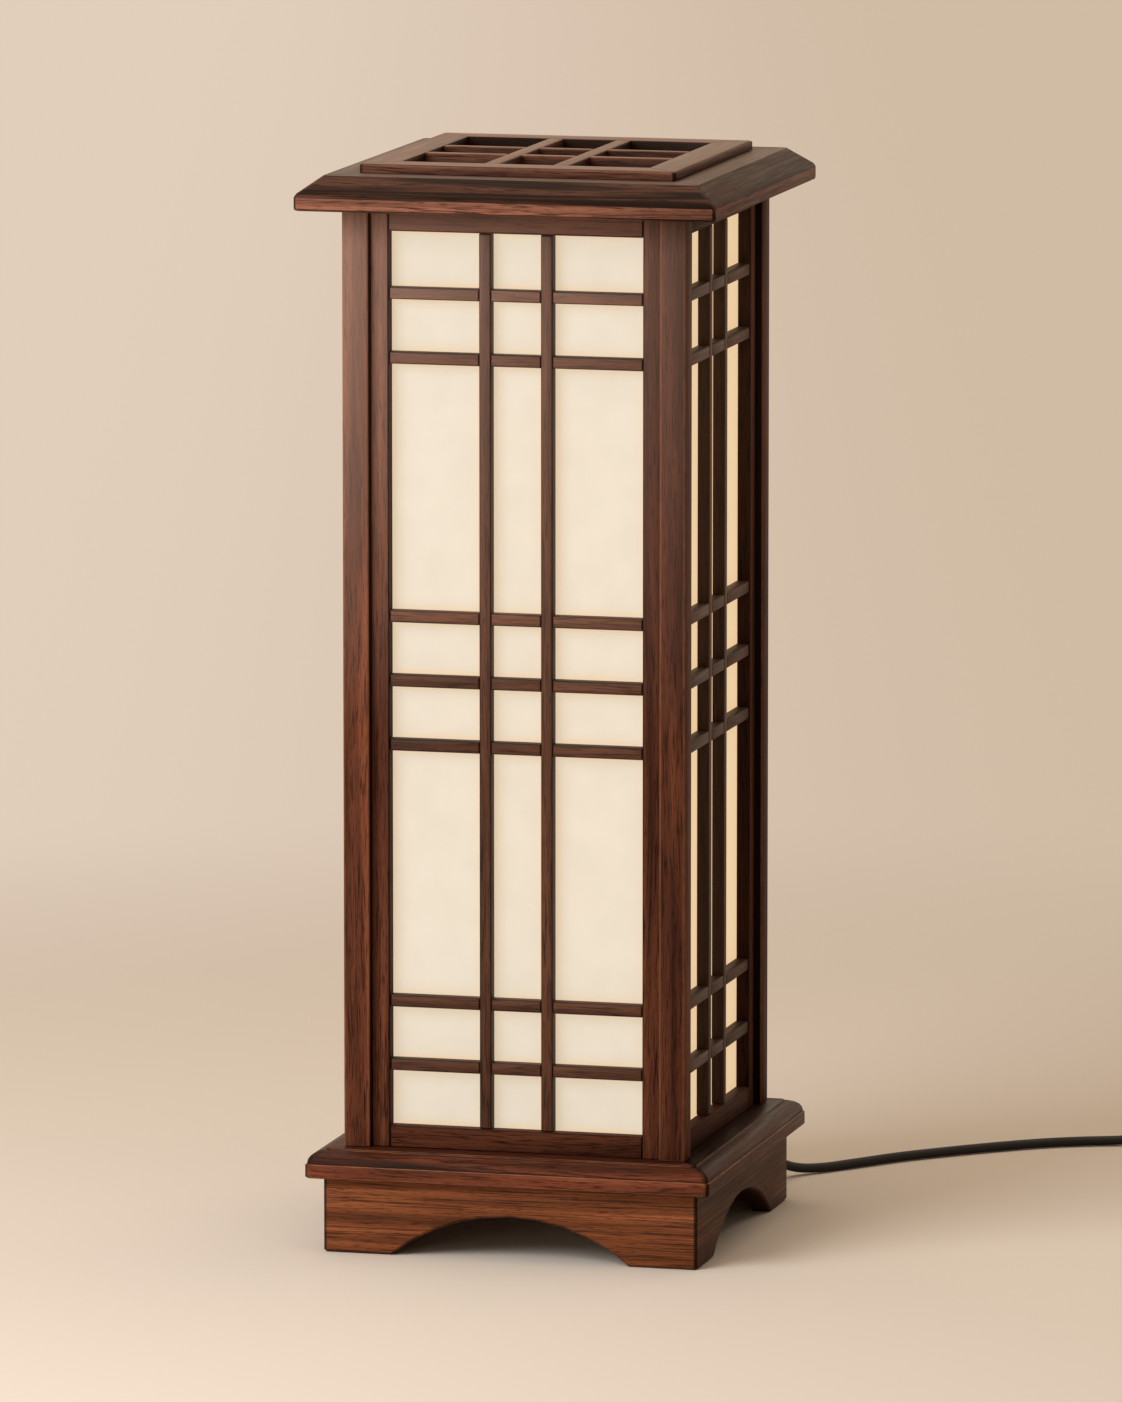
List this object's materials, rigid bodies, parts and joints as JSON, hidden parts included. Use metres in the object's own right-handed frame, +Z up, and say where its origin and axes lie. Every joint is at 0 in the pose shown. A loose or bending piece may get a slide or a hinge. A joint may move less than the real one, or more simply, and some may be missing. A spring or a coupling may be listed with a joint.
{
  "type": "shoji bedside lamp",
  "caption": "Square shoji bedside lamp: papered lattice panels between posts, arched moulded base, bevelled cap with a lift-out vent grille, bulb inside and a corded rocker switch.",
  "frame": {"origin": "on the floor plane at the centre of the four feet", "axes": "+Z up, -Y to the front, +X to the right as seen from the front"},
  "size_m": [0.5431, 0.4832, 0.6461],
  "materials": {
    "rosewood": "satin stained rosewood",
    "lattice": "satin stained lattice strips",
    "base_board": "plain stained board",
    "paper": "fibrous cream paper",
    "lampholder": "moulded phenolic",
    "brass": "turned",
    "bulb_cap": "rolled screw shell",
    "bulb_glass": "opal",
    "cord": "black flexible sheath",
    "switch": "moulded",
    "rocker": "moulded",
    "plug": "moulded"
  },
  "bodies": {
    "lamp": {"front_apron": "rosewood", "right_apron": "rosewood", "rear_apron": "rosewood", "left_apron": "rosewood", "front_plinth_moulding": "rosewood", "right_plinth_moulding": "rosewood", "rear_plinth_moulding": "rosewood", "left_plinth_moulding": "rosewood", "base_board": "base_board", "front_left_post": "rosewood", "front_right_post": "rosewood", "rear_left_post": "rosewood", "rear_right_post": "rosewood", "front_panel_left_stile": "rosewood", "front_panel_right_stile": "rosewood", "front_panel_top_rail": "rosewood", "front_panel_bottom_rail": "rosewood", "front_panel_lattice": "lattice", "front_panel_paper": "paper", "right_panel_left_stile": "rosewood", "right_panel_right_stile": "rosewood", "right_panel_top_rail": "rosewood", "right_panel_bottom_rail": "rosewood", "right_panel_lattice": "lattice", "right_panel_paper": "paper", "rear_panel_left_stile": "rosewood", "rear_panel_right_stile": "rosewood", "rear_panel_top_rail": "rosewood", "rear_panel_bottom_rail": "rosewood", "rear_panel_lattice": "lattice", "rear_panel_paper": "paper", "left_panel_left_stile": "rosewood", "left_panel_right_stile": "rosewood", "left_panel_top_rail": "rosewood", "left_panel_bottom_rail": "rosewood", "left_panel_lattice": "lattice", "left_panel_paper": "paper", "front_cap_member": "rosewood", "right_cap_member": "rosewood", "rear_cap_member": "rosewood", "left_cap_member": "rosewood", "lampholder": "lampholder", "threaded_nipple": "brass", "nipple_locknut": "brass", "cord_grommet": "cord", "inner_lead": "cord", "cord_lead": "cord", "cord_coil": "cord", "switch_body": "switch", "plug_body": "plug", "plug_blade_left": "brass", "plug_blade_right": "brass"},
    "grille": {"grille_front_rail": "rosewood", "grille_right_rail": "rosewood", "grille_rear_rail": "rosewood", "grille_left_rail": "rosewood", "grille_bars": "rosewood"},
    "bulb": {"bulb_cap": "bulb_cap", "bulb_glass": "bulb_glass"},
    "rocker": {"switch_rocker": "rocker"}
  },
  "joints": [
    {"name": "grille_lift", "type": "slide", "parent": "lamp", "child": "grille", "axis": [0, 0, 1], "range_m": [0, 0.06]},
    {"name": "bulb_unscrew", "type": "slide", "parent": "lamp", "child": "bulb", "axis": [0, 0, 1], "range_m": [0, 0.036]},
    {"name": "rocker_tilt", "type": "hinge", "parent": "lamp", "child": "rocker", "pos_m": [0.347, 0.343, 0.0158], "axis": [0, 1, 0], "range_deg": [0, 18]}
  ]
}
